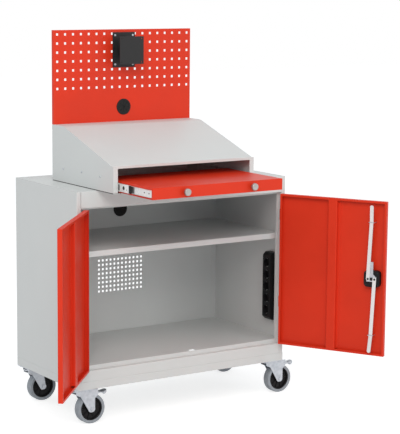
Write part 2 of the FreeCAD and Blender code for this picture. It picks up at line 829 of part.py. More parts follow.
OUTER_RAIL, MIDDLE_RAIL, INNER_RAIL = slide_rails()
save("drawer_tray", moved(drawer_tray(), XC, -DRAWER_OPEN))
save("drawer_knobs", *[moved(pull_knob(s * KNOB_SPREAD / 2), XC, -DRAWER_OPEN) for s in (-1, 1)])
save("slide_inner_rails", *both_slides(INNER_RAIL, -DRAWER_OPEN))
save("slide_middle_rails", *both_slides(MIDDLE_RAIL, -DRAWER_OPEN / 2))
save("slide_outer_rails", *both_slides(OUTER_RAIL, 0))
save("slide_brackets", *both_slides(slide_bracket(), 0))


# Doors, drawn closed on the right and then swung open about the hinge pins
def opened(shape, side):
    """A right-hand shape in its closed place, put on its side (1 right, -1 left) and swung open."""
    if side > 0:
        return turned(shape, PIN, Z_AXIS, RIGHT_OPEN)
    return mirrored(turned(shape, PIN, Z_AXIS, LEFT_OPEN))


def door_panel(with_lock):
    x0, x1 = X_FREE_EDGE, X_HINGE_EDGE
    shell = prism(rectangle(x0, x1, Y_FRONT, Y_INNER), "z", Z_DOOR, Z_DOOR_TOP, [BEND, BEND, 0, 0])
    pocket = box(x0 + SHEET, x1 - SHEET, Y_SKIN, Y_INNER - SHEET, Z_DOOR + SHEET, Z_DOOR_TOP - SHEET)
    mouth = box(x0 + DOOR_RETURN, x1 - DOOR_RETURN, Y_INNER - SHEET, Y_INNER,
                Z_DOOR + DOOR_RETURN, Z_DOOR_TOP - DOOR_RETURN)
    cuts = [pocket, mouth]
    if with_lock:
        cuts.append(rod("y", (X_LOCK, Z_LOCK), SPINDLE_HOLE_R, Y_FRONT, Y_SKIN))
    return shell.cut(cuts)


def door_stiffener():
    """Hat-section stiffener on the inside of the door skin."""
    x = (X_FREE_EDGE + X_HINGE_EDGE) / 2
    half = STIFFENER_W / 2
    path = [
        (x + half + STIFFENER_FLANGE, Y_SKIN + SHEET),
        (x + half, Y_SKIN + SHEET),
        (x + half, Y_INNER),
        (x - half, Y_INNER),
        (x - half, Y_SKIN + SHEET),
        (x - half - STIFFENER_FLANGE, Y_SKIN + SHEET),
    ]
    return folded(path, "z", Z_DOOR + DOOR_RETURN, Z_DOOR_TOP - DOOR_RETURN, SHEET, [0, BEND, BEND, 0])


def knuckle(z0, z1):
    return rod("z", (PIN.x, PIN.y), KNUCKLE_R, z0, z1)


def pin_bore(z):
    return rod("z", (PIN.x, PIN.y), PIN_R + PIN_PLAY, z - KNUCKLE_H, z + KNUCKLE_H)


def door_leaf(z):
    """Upper half of a lift-off hinge: knuckle and a plate on the hinge edge of the door."""
    plate = box(X_HINGE_EDGE, X_HINGE_EDGE + LEAF_T, PIN.y, Y_INNER - LEAF_T, z, z + KNUCKLE_H)
    return fused(knuckle(z, z + KNUCKLE_H), plate).cut(pin_bore(z))


def frame_leaf(z):
    """Lower half of a lift-off hinge: knuckle, angle plate on the corner of the post, fixed pin."""
    plate = box(X_JAMB - JAMB_LEAF_T, X_JAMB + LEAF_W, Y_FRONT - LEAF_T, Y_FRONT, z - KNUCKLE_H, z)
    inner = box(X_JAMB - JAMB_LEAF_T, X_JAMB, Y_FRONT - LEAF_T, Y_FRONT + JAMB_LEAF_D, z - KNUCKLE_H, z)
    stay = box(X_JAMB - JAMB_LEAF_T, X_JAMB, Y_FRONT, Y_FRONT + JAMB_LEAF_D, z, z + KNUCKLE_H)
    neck = box(PIN.x, X_JAMB + KNUCKLE_R, PIN.y, Y_FRONT, z - KNUCKLE_H, z)
    pin = rod("z", (PIN.x, PIN.y), PIN_R, z, z + KNUCKLE_H)
    return fused(knuckle(z - KNUCKLE_H, z), plate, inner, stay, neck, pin)


def both_sides(shapes):
    return shapes + [mirrored(s) for s in shapes]


for side, word in ((1, "right"), (-1, "left")):
    save("door_panel_" + word, opened(door_panel(side > 0), side))
    save("door_stiffener_" + word, opened(door_stiffener(), side))
    save("door_leaves_" + word, *[opened(door_leaf(z), side) for z in HINGE_HEIGHTS])
save("frame_leaves", *both_sides([frame_leaf(z) for z in HINGE_HEIGHTS]))


# Three-point lock: housing, cam, two pivoting rods with guides, rose and wing knob
def lock_housing():
    half = LOCK_SIZE / 2
    body = prism(rectangle(X_LOCK - half, X_LOCK + half, Z_LOCK - half, Z_LOCK + half),
                 "y", Y_SKIN, Y_HOUSING, LOCK_CORNER_R)
    return body.cut(rod("y", (X_LOCK, Z_LOCK), SPINDLE_HOLE_R, Y_SKIN, Y_HOUSING))


def spindle(half, y0, y1):
    """Square bar on the lock axis."""
    return box(X_LOCK - half, X_LOCK + half, y0, y1, Z_LOCK - half, Z_LOCK + half)


def lock_cam():
    """Cam plate with shoulders, an upright tongue and two rivet pins that carry the rods."""
    y1 = Y_CAM + CAM_T
    foot = CAM_BASE_W / 2
    half = TONGUE_W / 2
    shoulder = Z_LOCK + CAM_ABOVE
    neck = shoulder + foot - half
    line = [
        (X_LOCK - foot, Z_LOCK - CAM_BELOW),
        (X_LOCK + foot, Z_LOCK - CAM_BELOW),
        (X_LOCK + foot, shoulder),
        (X_LOCK + half, neck),
        (X_LOCK + half, Z_LOCK + TONGUE_L),
        (X_LOCK - half, Z_LOCK + TONGUE_L),
        (X_LOCK - half, neck),
        (X_LOCK - foot, shoulder),
    ]
    plate = prism(line, "y", Y_CAM, y1)
    pins = []
    for side in (-1, 1):
        centre = (X_LOCK + side * CAM_PIN_OUT, Z_LOCK)
        pins.append(rod("y", centre, CAM_PIN_R, y1, Y_ROD + ROD_T + CAM_PIN_PROUD))
    return fused(plate, *pins).cut(spindle(SPINDLE / 2 + SPINDLE_PLAY, Y_CAM, y1))


def lock_rod(up):
    """Flat rod from its cam pin to a rounded end that is set inwards; up is 1 or -1."""
    x = X_LOCK + up * CAM_PIN_OUT
    half = ROD_W / 2
    path = [
        (Y_ROD, Z_LOCK - half),
        (Y_ROD, Z_LOCK + ROD_BEND_AT),
        (Y_ROD + ROD_BEND_RISE, Z_LOCK + ROD_L),
    ]
    thick = left_of(path[::-1], ROD_T)
    flat = prism(path + thick, "x", x - half, x + half)
    plan = prism(rectangle(x - half, x + half, Z_LOCK - half, Z_LOCK + ROD_L), "y",
                 Y_ROD - ROD_BEND_RISE, Y_ROD + 2 * ROD_BEND_RISE + ROD_T, half * 0.98)
    bar = flat.common(plan).cut(rod("y", (x, Z_LOCK), CAM_PIN_R + PIN_PLAY, Y_ROD - ROD_T, Y_ROD + 2 * ROD_T))
    pivot = V(x, Y_ROD, Z_LOCK)
    if up < 0:
        bar = bar.mirror(pivot, Z_AXIS)
    return turned(bar, pivot, Y_AXIS, -ROD_LEAN)


def rod_guide(up):
    """Staple on the door skin that keeps a rod in line."""
    z = Z_LOCK + up * GUIDE_AT
    x = X_LOCK + up * GUIDE_SHIFT
    half = ROD_W / 2 + GUIDE_PLAY
    high = Y_ROD + ROD_T + GUIDE_T
    path = [
        (x + half + GUIDE_T, Y_SKIN),
        (x + half + GUIDE_T, high + GUIDE_T),
        (x - half - GUIDE_T, high + GUIDE_T),
        (x - half - GUIDE_T, Y_SKIN),
    ]
    return folded(path, "z", z - GUIDE_W / 2, z + GUIDE_W / 2, GUIDE_T, 0)


def lock_rose():
    """Escutcheon plate on the outside, with cut corners."""
    line = cut_rectangle(X_LOCK - ROSE_R, X_LOCK + ROSE_R, Z_LOCK - ROSE_R, Z_LOCK + ROSE_R, ROSE_R * 0.3)
    hole = rod("y", (X_LOCK, Z_LOCK), SPINDLE_HOLE_R, Y_FRONT - ROSE_T, Y_FRONT)
    return prism(line, "y", Y_FRONT - ROSE_T, Y_FRONT).cut(hole)


def wing_knob():
    """Wing knob across the door, with the square spindle that drives the cam."""
    y1 = Y_FRONT - ROSE_T - FACE_PLAY
    y0 = y1 - KNOB_HUB_T
    hub = rod("y", (X_LOCK, Z_LOCK), KNOB_HUB_R, y0, y1)
    half = KNOB_WING / 2
    thick = KNOB_WING_W / 2
    line = cut_rectangle(X_LOCK - half, X_LOCK + half, Z_LOCK - thick, Z_LOCK + thick, thick * 0.6)
    wing = prism(line, "y", y0 - KNOB_WING_T, y0)
    return fused(hub, wing, spindle(SPINDLE / 2, y0, Y_CAM + CAM_T))


save("lock_housing", opened(lock_housing(), 1))
save("lock_cam", opened(lock_cam(), 1))
save("lock_rod_upper", opened(lock_rod(1), 1))
save("lock_rod_lower", opened(lock_rod(-1), 1))
save("rod_guides", *[opened(rod_guide(up), 1) for up in (1, -1)])
save("lock_rose", opened(lock_rose(), 1))
save("wing_knob", opened(wing_knob(), 1))


# Castors about their swivel axis at x = y = 0, trailing towards +X
def castor_plate():
    """Bolt plate with its ball race and the king pin that carries the fork."""
    plate = box(-PLATE_X / 2, PLATE_X / 2, -PLATE_Y / 2, PLATE_Y / 2, CASTOR_H - PLATE_T, CASTOR_H)
    race = rod("z", (0, 0), RACE_R, Z_RACE, CASTOR_H - PLATE_T)
    king = rod("z", (0, 0), KING_R, Z_FORK - KING_PROUD, Z_RACE)
    return fused(plate, race, king)


def fork_leg(braked):
    """Leg with a wide shoulder, a slanting back edge and a round tip; a braked leg flares to the pedal."""
    boss = FORK_BOSS_R
    low = WHEEL_R - boss
    back = [
        (-FORK_R, Z_FORK_TOP),
        (-FORK_R, Z_FORK_TOP - FORK_SHOULDER),
        (FORK_SHOULDER - FORK_R / 2, Z_FORK_TOP - 2 * FORK_SHOULDER),
        (TRAIL - boss, low),
        (TRAIL + boss, low),
    ]
    radii = [0, 0, 0, boss * 0.9, boss * 0.95]
    if braked:
        flare = Z_FORK_TOP - FLARE_DROP
        back += [(TRAIL + boss, flare - FORK_SHOULDER), (FLARE_X, flare), (FLARE_X, Z_FORK_TOP)]
        radii += [0, 0, 0]
    else:
        back += [(FORK_R + FORK_SHOULDER, Z_FORK_TOP - FORK_SHOULDER), (FORK_R, Z_FORK_TOP)]
        radii += [0, 0]
    return prism(back, "y", FORK_IN, FORK_IN + FORK_T, radii)


def fork(braked):
    """Pressed fork: head with cut corners, two legs, axle bolt and, when braked, the pin of the pedal."""
    half = FORK_IN + FORK_T
    head = prism(fork_plan(half, FORK_R), "z", Z_FORK, Z_FORK_TOP)
    head = head.cut(rod("z", (0, 0), KING_R + RUN_PLAY, Z_FORK, Z_FORK_TOP))
    leg = fork_leg(braked).common(prism(fork_plan(half, 2 * FLARE_X), "z", 0, CASTOR_H))
    pieces = [leg, mirrored(leg, Y_AXIS)]
    pieces.append(rod("y", (TRAIL, WHEEL_R), AXLE_R, -half, half))
    nut = prism(hexagon(TRAIL, WHEEL_R, AXLE_HEAD_R), "y", half, half + AXLE_HEAD_T)
    pieces += [nut, mirrored(nut, Y_AXIS)]
    if braked:
        pieces.append(rod("y", (PEDAL_X, Z_FORK - PEDAL_DROP), PEDAL_PIN_R, -half, half))
    return fused(head, *pieces)


def hexagon(a, b, radius):
    angles = [i * math.pi / 3 for i in range(6)]
    return [(a + radius * math.cos(t), b + radius * math.sin(t)) for t in angles]


def fork_plan(half, reach):
    """Plan of the fork from its nose, with cut corners, to a reach along the trail."""
    cut = FORK_R * 0.35
    return [
        (-FORK_R + cut, -half),
        (reach, -half),
        (reach, half),
        (-FORK_R + cut, half),
        (-FORK_R, half - cut),
        (-FORK_R, cut - half),
    ]


def wheel():
    """Wheel with its moulded-on tread, bored for the axle."""
    half = WHEEL_W / 2
    disc = rod("y", (TRAIL, WHEEL_R), WHEEL_R, -half, half)
    return disc.cut(rod("y", (TRAIL, WHEEL_R), AXLE_R + RUN_PLAY, -half, half))


def brake_pedal():
    """Foot pedal on a cross pin between the fork legs, with a shoe over the tread and a thick round toe."""
    z = Z_FORK - PEDAL_DROP
    half = PEDAL_W / 2
    barrel = rod("y", (PEDAL_X, z), PEDAL_BARREL_R, -half, half)
    path = [
        (PEDAL_X + PEDAL_L, z - PEDAL_DIP + PEDAL_TIP_RISE),
        (PEDAL_X + PEDAL_L * 0.68, z - PEDAL_DIP),
        (PEDAL_X, z),
    ]
    plate = folded(path, "y", -half, half, PEDAL_T, 0)
    toe = folded(path[:2], "y", -half, half, TOE_T, 0)
    end = PEDAL_X + PEDAL_L
    tip = [
        (PEDAL_X, -half),
        (end - half, -half),
        (end - half * 0.3, -half * 0.7),
        (end, 0),
        (end - half * 0.3, half * 0.7),
        (end - half, half),
        (PEDAL_X, half),
    ]
    plan = prism(tip, "z", 0, CASTOR_H)
    shoe_end = z - PEDAL_T / 2
    shoe = box(PEDAL_X + SHOE_X, PEDAL_X + SHOE_X + SHOE_L, -half, half, shoe_end - SHOE_T, shoe_end)
    bore = rod("y", (PEDAL_X, z), PEDAL_PIN_R + RUN_PLAY, -PEDAL_W, PEDAL_W)
    return fused(barrel, plate.common(plan), toe.common(plan), shoe).cut(bore)


CASTORS = {
    "front_left": (-X_CASTOR, -Y_CASTOR),
    "front_right": (X_CASTOR, -Y_CASTOR),
    "rear_left": (-X_CASTOR, Y_CASTOR),
    "rear_right": (X_CASTOR, Y_CASTOR),
}
save("castor_plates", *[moved(castor_plate(), x, y) for x, y in CASTORS.values()])
for place, (x, y) in CASTORS.items():
    braked = place.startswith("front")
    save("castor_fork_" + place, moved(fork(braked), x, y))
    save("wheel_" + place, moved(wheel(), x, y))
    if braked:
        save("brake_pedal_" + place, moved(brake_pedal(), x, y))
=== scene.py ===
import json
import math

import bmesh
import bpy
from mathutils import Matrix, Vector


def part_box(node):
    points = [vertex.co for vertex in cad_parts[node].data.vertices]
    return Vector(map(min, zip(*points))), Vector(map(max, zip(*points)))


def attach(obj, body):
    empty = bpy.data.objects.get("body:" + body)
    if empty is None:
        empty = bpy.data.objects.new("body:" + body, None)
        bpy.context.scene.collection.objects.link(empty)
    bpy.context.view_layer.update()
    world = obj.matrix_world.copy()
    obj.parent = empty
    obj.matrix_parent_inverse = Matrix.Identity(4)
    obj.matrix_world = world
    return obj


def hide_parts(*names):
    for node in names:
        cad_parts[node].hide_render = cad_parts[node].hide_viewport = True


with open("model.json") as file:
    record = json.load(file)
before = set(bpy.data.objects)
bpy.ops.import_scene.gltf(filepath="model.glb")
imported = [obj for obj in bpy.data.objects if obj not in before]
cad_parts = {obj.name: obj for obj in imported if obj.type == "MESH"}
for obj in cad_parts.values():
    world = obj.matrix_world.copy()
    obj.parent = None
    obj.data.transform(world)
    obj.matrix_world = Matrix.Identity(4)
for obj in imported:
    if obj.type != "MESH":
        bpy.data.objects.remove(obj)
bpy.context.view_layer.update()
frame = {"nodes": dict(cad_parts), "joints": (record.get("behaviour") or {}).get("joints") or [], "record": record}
nodes = frame["nodes"]
joints = {joint["name"]: joint for joint in frame["joints"]}
scene = bpy.context.scene

MM = 0.001
X_AXIS = Vector((1, 0, 0))
Y_AXIS = Vector((0, 1, 0))
Z_AXIS = Vector((0, 0, 1))
CASTORS = ("front_left", "front_right", "rear_left", "rear_right")

# Camera, fitted to the photograph
IMAGE_H = 434
SENSOR = 36.0
FOCAL_PX = 1588.6
CAMERA_AT = Vector((-3.5883, -5.8203, 1.8486))
CAMERA_YAW = -33.42
CAMERA_PITCH = 8.673
CAMERA_ROLL = 0.478
CAMERA_NEAR = 0.1
CAMERA_FAR = 60.0


def make_camera():
    yaw, pitch, roll = (math.radians(a) for a in (CAMERA_YAW, CAMERA_PITCH, CAMERA_ROLL))
    back = Vector((math.sin(yaw) * math.cos(pitch), -math.cos(yaw) * math.cos(pitch), math.sin(pitch)))
    right = Vector((math.cos(yaw), math.sin(yaw), 0.0))
    up = back.cross(right)
    c, s = math.cos(roll), math.sin(roll)
    axes = (right * c + up * s, up * c - right * s, back)
    camera = bpy.data.objects.new("camera", bpy.data.cameras.new("camera"))
    scene.collection.objects.link(camera)
    camera.matrix_world = Matrix.Translation(CAMERA_AT) @ Matrix(axes).transposed().to_4x4()
    camera.data.sensor_width = SENSOR
    camera.data.lens = FOCAL_PX * SENSOR / IMAGE_H
    camera.data.clip_start = CAMERA_NEAR
    camera.data.clip_end = CAMERA_FAR
    scene.camera = camera


# Materials
NOISE_SPAN = (0.3, 0.7)
PATCH_DETAIL = 4.0
GRAIN_DETAIL = 2.0
GRAIN_STRENGTH = 0.25


def noise_node(tree, scale, detail, stretch):
    """Noise on the object's own coordinates, stretched along the axes."""
    place = tree.nodes.new("ShaderNodeTexCoord")
    mapping = tree.nodes.new("ShaderNodeMapping")
    noise = tree.nodes.new("ShaderNodeTexNoise")
    mapping.inputs["Scale"].default_value = stretch
    noise.inputs["Scale"].default_value = scale
    noise.inputs["Detail"].default_value = detail
    tree.links.new(place.outputs["Object"], mapping.inputs["Vector"])
    tree.links.new(mapping.outputs["Vector"], noise.inputs["Vector"])
    return noise


def surface(name, tones, rough, patch, grain, metallic=0.0, specular=0.5, stretch=(1.0, 1.0, 1.0)):
    """Material whose colour and gloss wander in patches, with a fine grain on top.

    tones and rough hold the two ends of colour and roughness, patch is a noise scale per metre,
    and grain is a noise scale per metre with the depth of its relief.
    """
    material = bpy.data.materials.new(name)
    material.use_nodes = True
    tree = material.node_tree
    shader = tree.nodes["Principled BSDF"]
    shader.inputs["Metallic"].default_value = metallic
    shader.inputs["Specular IOR Level"].default_value = specular
    patches = noise_node(tree, patch, PATCH_DETAIL, stretch)
    colours = tree.nodes.new("ShaderNodeValToRGB")
    for element, position, colour in zip(colours.color_ramp.elements, NOISE_SPAN, tones):
        element.position = position
        element.color = (*colour, 1.0)
    gloss = tree.nodes.new("ShaderNodeMapRange")
    gloss.inputs["From Min"].default_value = NOISE_SPAN[0]
    gloss.inputs["From Max"].default_value = NOISE_SPAN[1]
    gloss.inputs["To Min"].default_value = rough[0]
    gloss.inputs["To Max"].default_value = rough[1]
    grain_scale, grain_relief = grain
    fine = noise_node(tree, grain_scale, GRAIN_DETAIL, stretch)
    bump = tree.nodes.new("ShaderNodeBump")
    bump.inputs["Distance"].default_value = grain_relief
    bump.inputs["Strength"].default_value = GRAIN_STRENGTH
    tree.links.new(patches.outputs["Fac"], colours.inputs["Fac"])
    tree.links.new(colours.outputs["Color"], shader.inputs["Base Color"])
    tree.links.new(patches.outputs["Fac"], gloss.inputs["Value"])
    tree.links.new(gloss.outputs["Result"], shader.inputs["Roughness"])
    tree.links.new(fine.outputs["Fac"], bump.inputs["Height"])
    tree.links.new(bump.outputs["Normal"], shader.inputs["Normal"])
    return material


def shades(colour, spread):
    """A darker and a lighter tone about a colour."""
    return tuple(c * (1 - spread) for c in colour), tuple(c * (1 + spread) for c in colour)


# Grain of each kind of surface: noise scale per metre and relief
COAT = (900.0, 0.12 * MM)
MOULDED = (2200.0, 0.1 * MM)
PLATED = (500.0, 0.05 * MM)
BRUSHED = (400.0, 0.04 * MM)
STEEL_METALLIC = 0.8
LOOKS = {
    "red_paint": dict(
        tones=shades((0.69, 0.036, 0.011), 0.04), rough=(0.38, 0.46), patch=6.0,
        grain=COAT, specular=0.2),
    "grey_paint": dict(
        tones=shades((0.64, 0.655, 0.65), 0.015), rough=(0.42, 0.5), patch=5.0,
        grain=COAT, specular=0.35),
    "black_paint": dict(
        tones=shades((0.016, 0.016, 0.017), 0.15), rough=(0.45, 0.55), patch=40.0,
        grain=COAT, specular=0.3),
    "zinc_steel": dict(
        tones=((0.42, 0.45, 0.49), (0.57, 0.595, 0.635)), rough=(0.3, 0.48), patch=70.0,
        grain=PLATED, metallic=STEEL_METALLIC),
    "bright_steel": dict(
        tones=((0.66, 0.66, 0.66), (0.78, 0.78, 0.77)), rough=(0.26, 0.36), patch=60.0,
        grain=BRUSHED, metallic=STEEL_METALLIC, stretch=(1.0, 1.0, 0.08)),
    "satin_steel": dict(
        tones=((0.33, 0.31, 0.3), (0.41, 0.39, 0.375)), rough=(0.34, 0.44), patch=60.0,
        grain=BRUSHED, metallic=STEEL_METALLIC),
    "black_plastic": dict(
        tones=shades((0.01, 0.01, 0.011), 0.2), rough=(0.4, 0.5), patch=50.0,
        grain=MOULDED, specular=0.16),
    "black_rubber": dict(
        tones=shades((0.013, 0.013, 0.013), 0.2), rough=(0.6, 0.75), patch=50.0,
        grain=MOULDED, specular=0.25),
    "tyre_rubber": dict(
        tones=((0.275, 0.3, 0.33), (0.34, 0.367, 0.4)), rough=(0.55, 0.7), patch=60.0,
        grain=MOULDED, specular=0.3),
}
MATERIALS = {name: surface(name, **look) for name, look in LOOKS.items()}

# Edge rounding of the CAD nodes: painted sheet, and the pieces that are pressed, cast or moulded
SHEET_EDGE = 0.45 * MM
SOFT_EDGE = 1.2 * MM
SOFT_NODES = ("socket_strip", "lock_housing", "wing_knob", "bracket_swivel_arm", "lock_rose")
SHARP_ANGLE = math.radians(32)
EDGE_SEGMENTS = 2
MERGE_GAP = 0.01 * MM
# Nodes whose flat faces are made whole first, since thin triangles between holes don't round cleanly
WHOLE_NODES = ("bracket_", "castor_fork_", "door_stiffener_", "brake_pedal_")
FLAT_ANGLE = math.radians(0.5)


def soften(obj, width):
    """Rounds the sharp edges a little, as paint and moulding do."""
    bevel = obj.modifiers.new("edge", "BEVEL")
    bevel.width = width
    bevel.segments = EDGE_SEGMENTS
    bevel.limit_method = "ANGLE"
    bevel.angle_limit = SHARP_ANGLE
    normals = obj.modifiers.new("normals", "WEIGHTED_NORMAL")
    normals.keep_sharp = True


def dress_nodes():
    for part in frame["record"]["subparts"]:
        name = part["node"]
        node = nodes[name]
        node.data.materials.clear()
        node.data.materials.append(MATERIALS[part["material_slot"]])
        weld = node.modifiers.new("weld", "WELD")
        weld.merge_threshold = MERGE_GAP
        if name.startswith(WHOLE_NODES):
            whole = node.modifiers.new("whole", "DECIMATE")
            whole.decimate_type = "DISSOLVE"
            whole.angle_limit = FLAT_ANGLE
        soften(node, SOFT_EDGE if name in SOFT_NODES else SHEET_EDGE)


# Places and profiles
def corners(box):
    """Low and high corner of a node's box, as vectors."""
    low, high = box
    return Vector(low), Vector(high)


def joint_at(name):
    return Vector(joints[name]["pos_m"])


def aligned(at, z_axis, x_axis=None):
    """Place whose local Z runs along z_axis and whose local X is near x_axis."""
    z = Vector(z_axis).normalized()
    x = Vector(x_axis) if x_axis else z.orthogonal()
    x = (x - z * x.dot(z)).normalized()
    return Matrix.Translation(at) @ Matrix((x, z.cross(x), z)).transposed().to_4x4()


def rectangle(width, height, at=(0.0, 0.0)):
    x, y = width / 2, height / 2
    return [(at[0] + a, at[1] + b) for a, b in ((-x, -y), (x, -y), (x, y), (-x, y))]


def polar(radius, angle):
    """Point at a radius and an angle in degrees."""
    a = math.radians(angle)
    return radius * math.cos(a), radius * math.sin(a)


def hexagon(radius):
    return [polar(radius, 60 * i) for i in range(6)]


def arc(centre, radius, start, end, steps):
    """Points along an arc, angles in degrees."""
    points = [polar(radius, start + (end - start) * i / steps) for i in range(steps + 1)]
    return [(centre[0] + x, centre[1] + y) for x, y in points]


def circle(centre, radius, count):
    """Points all round a circle."""
    return arc(centre, radius, 0, 360 - 360 / count, count - 1)


def scaled(shape, radius, rise):
    """Profile from a shape given in shares of a radius and a rise."""
    return [(radius * r, rise * h) for r, h in shape]


def both_sides(profile):
    """A profile above the middle plane, carried on to its mirror image below it."""
    return profile + [(r, -h) for r, h in reversed(profile)]


# Mesh building
def turn(mesh, profile, place, facets, closed=False):
    """Adds a turned form: (radius, height) points spun about local Z.

    closed joins the last ring of points to the first.
    """
    rings = []
    for radius, height in profile:
        count = facets if radius else 1
        angles = [2 * math.pi * i / facets for i in range(count)]
        points = [Vector((radius * math.cos(a), radius * math.sin(a), height)) for a in angles]
        rings.append([mesh.verts.new(place @ point) for point in points])
    pairs = list(zip(rings, rings[1:])) + ([(rings[-1], rings[0])] if closed else [])
    for low, high in pairs:
        for i in range(facets):
            j = i + 1
            face = [low[i % len(low)], low[j % len(low)], high[j % len(high)], high[i % len(high)]]
            mesh.faces.new(list(dict.fromkeys(face)))


def plate(mesh, points, depth, place):
    """Adds a flat plate: an outline in local XY raised along local Z."""
    low = [mesh.verts.new(place @ Vector((x, y, 0.0))) for x, y in points]
    high = [mesh.verts.new(place @ Vector((x, y, depth))) for x, y in points]
    mesh.faces.new(low[::-1])
    mesh.faces.new(high)
    for i in range(len(points)):
        j = (i + 1) % len(points)
        mesh.faces.new((low[i], low[j], high[j], high[i]))


def piece(name, mesh, slot, body, edge=0.0, stands_for=(), finish=None):
    """Turns a built mesh into a piece of the object that moves with a body.

    finish names a material that is shown in place of the slot's own.
    """
    bmesh.ops.recalc_face_normals(mesh, faces=mesh.faces)
    data = bpy.data.meshes.new(name)
    mesh.to_mesh(data)
    mesh.free()
    data.materials.append(MATERIALS[finish or slot])
    data.polygons.foreach_set("use_smooth", [True] * len(data.polygons))
    data.set_sharp_from_angle(angle=SHARP_ANGLE)
    obj = bpy.data.objects.new(name, data)
    scene.collection.objects.link(obj)
    if edge:
        soften(obj, edge)
    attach(obj, body)
    if stands_for:
        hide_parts(*stands_for)


# Wheels: grey tread with rounded shoulders on a black ribbed hub
TREAD_SEAT_R = 49.5 * MM
SHOULDER_R = 4.5 * MM
SHOULDER_ARC = (88, 4)
SHOULDER_STEPS = 7
TREAD_STEP = 1.2 * MM
HUB_RIM_T = 4.5 * MM
HUB_RIM_IN = 3.0 * MM
HUB_WEB_HALF = 7 * MM
HUB_BOSS_R = 17 * MM
HUB_BORE_R = 7 * MM
HUB_RIBS = 10
HUB_RIB_T = 2.4 * MM
HUB_RIB_RISE = 0.35
WHEEL_FACETS = 72


def tread(name, node, body, place, radius, half):
    side = [
        (TREAD_SEAT_R, half - HUB_RIM_IN),
        (TREAD_SEAT_R + TREAD_STEP, half - TREAD_STEP),
        (TREAD_SEAT_R + 2 * TREAD_STEP, half - TREAD_STEP),
    ]
    crown = arc((radius - SHOULDER_R, half - SHOULDER_R), SHOULDER_R, *SHOULDER_ARC, SHOULDER_STEPS)
    mesh = bmesh.new()
    turn(mesh, both_sides(side + crown), place, WHEEL_FACETS, closed=True)
    piece("tread_" + name, mesh, "tyre_rubber", body, stands_for=(node,))


def hub(name, body, place, half):
    rim_r = TREAD_SEAT_R - HUB_RIM_T
    face = half - HUB_RIM_IN
    side = [
        (HUB_BORE_R, face),
        (HUB_BOSS_R - TREAD_STEP, face),
        (HUB_BOSS_R, face - TREAD_STEP),
        (HUB_BOSS_R + TREAD_STEP, HUB_WEB_HALF),
        (rim_r - TREAD_STEP, HUB_WEB_HALF),
        (rim_r, face - TREAD_STEP),
        (rim_r + TREAD_STEP, face),
        (TREAD_SEAT_R, face),
    ]
    mesh = bmesh.new()
    turn(mesh, both_sides(side), place, WHEEL_FACETS, closed=True)
    rib = rectangle(rim_r - HUB_BOSS_R, HUB_RIB_T, ((rim_r + HUB_BOSS_R) / 2, 0.0))
    rise = (face - HUB_WEB_HALF) * HUB_RIB_RISE
    on_web = Matrix.Translation((0, 0, HUB_WEB_HALF))
    for i in range(HUB_RIBS):
        spin = Matrix.Rotation(2 * math.pi * i / HUB_RIBS, 4, "Z")
        for half_turn in (0.0, math.pi):
            flip = Matrix.Rotation(half_turn, 4, "X")
            plate(mesh, rib, rise, place @ flip @ spin @ on_web)
    piece("hub_" + name, mesh, "black_plastic", body)


def wheel(name):
    node = "wheel_" + name
    body = "rolling_wheel_" + name
    low, high = corners(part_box(node))
    place = aligned((low + high) / 2, Y_AXIS, X_AXIS)
    radius = (high.z - low.z) / 2
    half = (high.y - low.y) / 2
    tread(name, node, body, place, radius, half)
    hub(name, body, place, half)


# Castor fittings: washers of the axle, rim of the pedal's toe, nuts of the bolt plate, and a ring in the race
# whose black is partly painted shade for the slit under the bolt plate
NUT_R = 6.6 * MM
NUT_T = 5.2 * MM
NUT_EDGE = 0.5 * MM
AXLE_NUT_T = 4 * MM
WASHER_R = 11.5 * MM
WASHER_T = 1.2 * MM
WASHER_EDGE = 0.3 * MM
WASHER_FACETS = 40
TOE_R = 10 * MM
TOE_SQUEEZE = 1.35
TOE_RIM = 2.6 * MM
TOE_RIM_SINK = 0.5 * MM
TOE_RIM_LIFT = 0.2 * MM
TOE_RIM_STEPS = 6
TOE_FACETS = 32
TOE_FROM_END = 11.5 * MM
TOE_TILT = math.radians(-14.8)
TOE_DROP = 5 * MM
TOE_LIFT = 6 * MM
TOE_RUN = 22.7 * MM
BOLT_PLATE_T = 4 * MM
BOLT_SPREAD = (27 * MM, 41 * MM)
RACE_T = 6 * MM
# Ring in the race, made black partly as painted shade for the slit between plate and fork
GAP_SHADE_RING_R = 31.5 * MM
GAP_SHADE_RING_T = 2.9 * MM
GAP_SHADE_RING_POINTS = 8
GAP_SHADE_RING_FACETS = 48


def axle_washers(name):
    low, high = corners(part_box("castor_fork_" + name))
    axle = joint_at("roll_" + name)
    ring = [(NUT_R, 0.0), (WASHER_R, 0.0), (WASHER_R, WASHER_T), (NUT_R, WASHER_T)]
    mesh = bmesh.new()
    for y, out in ((low.y + AXLE_NUT_T, -Y_AXIS), (high.y - AXLE_NUT_T, Y_AXIS)):
        turn(mesh, ring, aligned((axle.x, y, axle.z), out), WASHER_FACETS, closed=True)
    piece("axle_washers_" + name, mesh, "zinc_steel", "fork_" + name, WASHER_EDGE)


def toe_rim(name):
    """Raised oval rim on the rising end of a brake pedal."""
    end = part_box("brake_pedal_" + name)[1][0]
    rise = TOE_LIFT * (1 - TOE_FROM_END / TOE_RUN) - TOE_DROP
    at = Vector((end - TOE_FROM_END, joint_at("swivel_" + name).y, joint_at("brake_" + name).z + rise))
    lean = Matrix.Rotation(TOE_TILT, 4, "Y") @ Matrix.Diagonal((1, TOE_SQUEEZE, 1, 1))
    rim = [(TOE_R - TOE_RIM, -TOE_RIM_SINK)]
    rim += arc((TOE_R - TOE_RIM / 2, TOE_RIM_LIFT), TOE_RIM / 2, 180, 0, TOE_RIM_STEPS)
    rim += [(TOE_R, -TOE_RIM_SINK)]
    mesh = bmesh.new()
    turn(mesh, rim, Matrix.Translation(at) @ lean, TOE_FACETS, closed=True)
    piece("toe_rim_" + name, mesh, "zinc_steel", "pedal_" + name)


